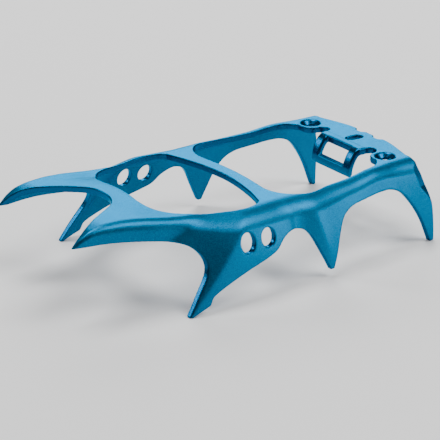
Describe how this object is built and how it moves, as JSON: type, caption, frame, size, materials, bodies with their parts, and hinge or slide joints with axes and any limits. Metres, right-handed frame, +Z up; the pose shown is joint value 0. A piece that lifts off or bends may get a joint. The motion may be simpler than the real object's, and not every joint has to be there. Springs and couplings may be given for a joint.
{
  "type": "crampon front frame",
  "caption": "One-piece formed aluminium crampon front frame with downturned points, toe bridge, cross brace and drilled rear bar.",
  "frame": {"origin": "middle of the frame's length and width, on the ground that the points stand on", "axes": "+X towards the toe, +Y to the wearer's left, +Z up"},
  "size_m": [0.1782, 0.1052, 0.0412],
  "materials": {
    "anodised_frame": "satin blue anodised"
  },
  "bodies": {
    "root": {"toe_bridge": "anodised_frame", "cross_brace": "anodised_frame", "rear_bar": "anodised_frame", "link_bracket": "anodised_frame", "left_front_point": "anodised_frame", "right_front_point": "anodised_frame", "left_front_rail": "anodised_frame", "right_front_rail": "anodised_frame", "left_secondary_point": "anodised_frame", "right_secondary_point": "anodised_frame", "left_rear_rail": "anodised_frame", "right_rear_rail": "anodised_frame", "left_third_point": "anodised_frame", "right_third_point": "anodised_frame", "left_rear_point": "anodised_frame", "right_rear_point": "anodised_frame"}
  },
  "joints": []
}
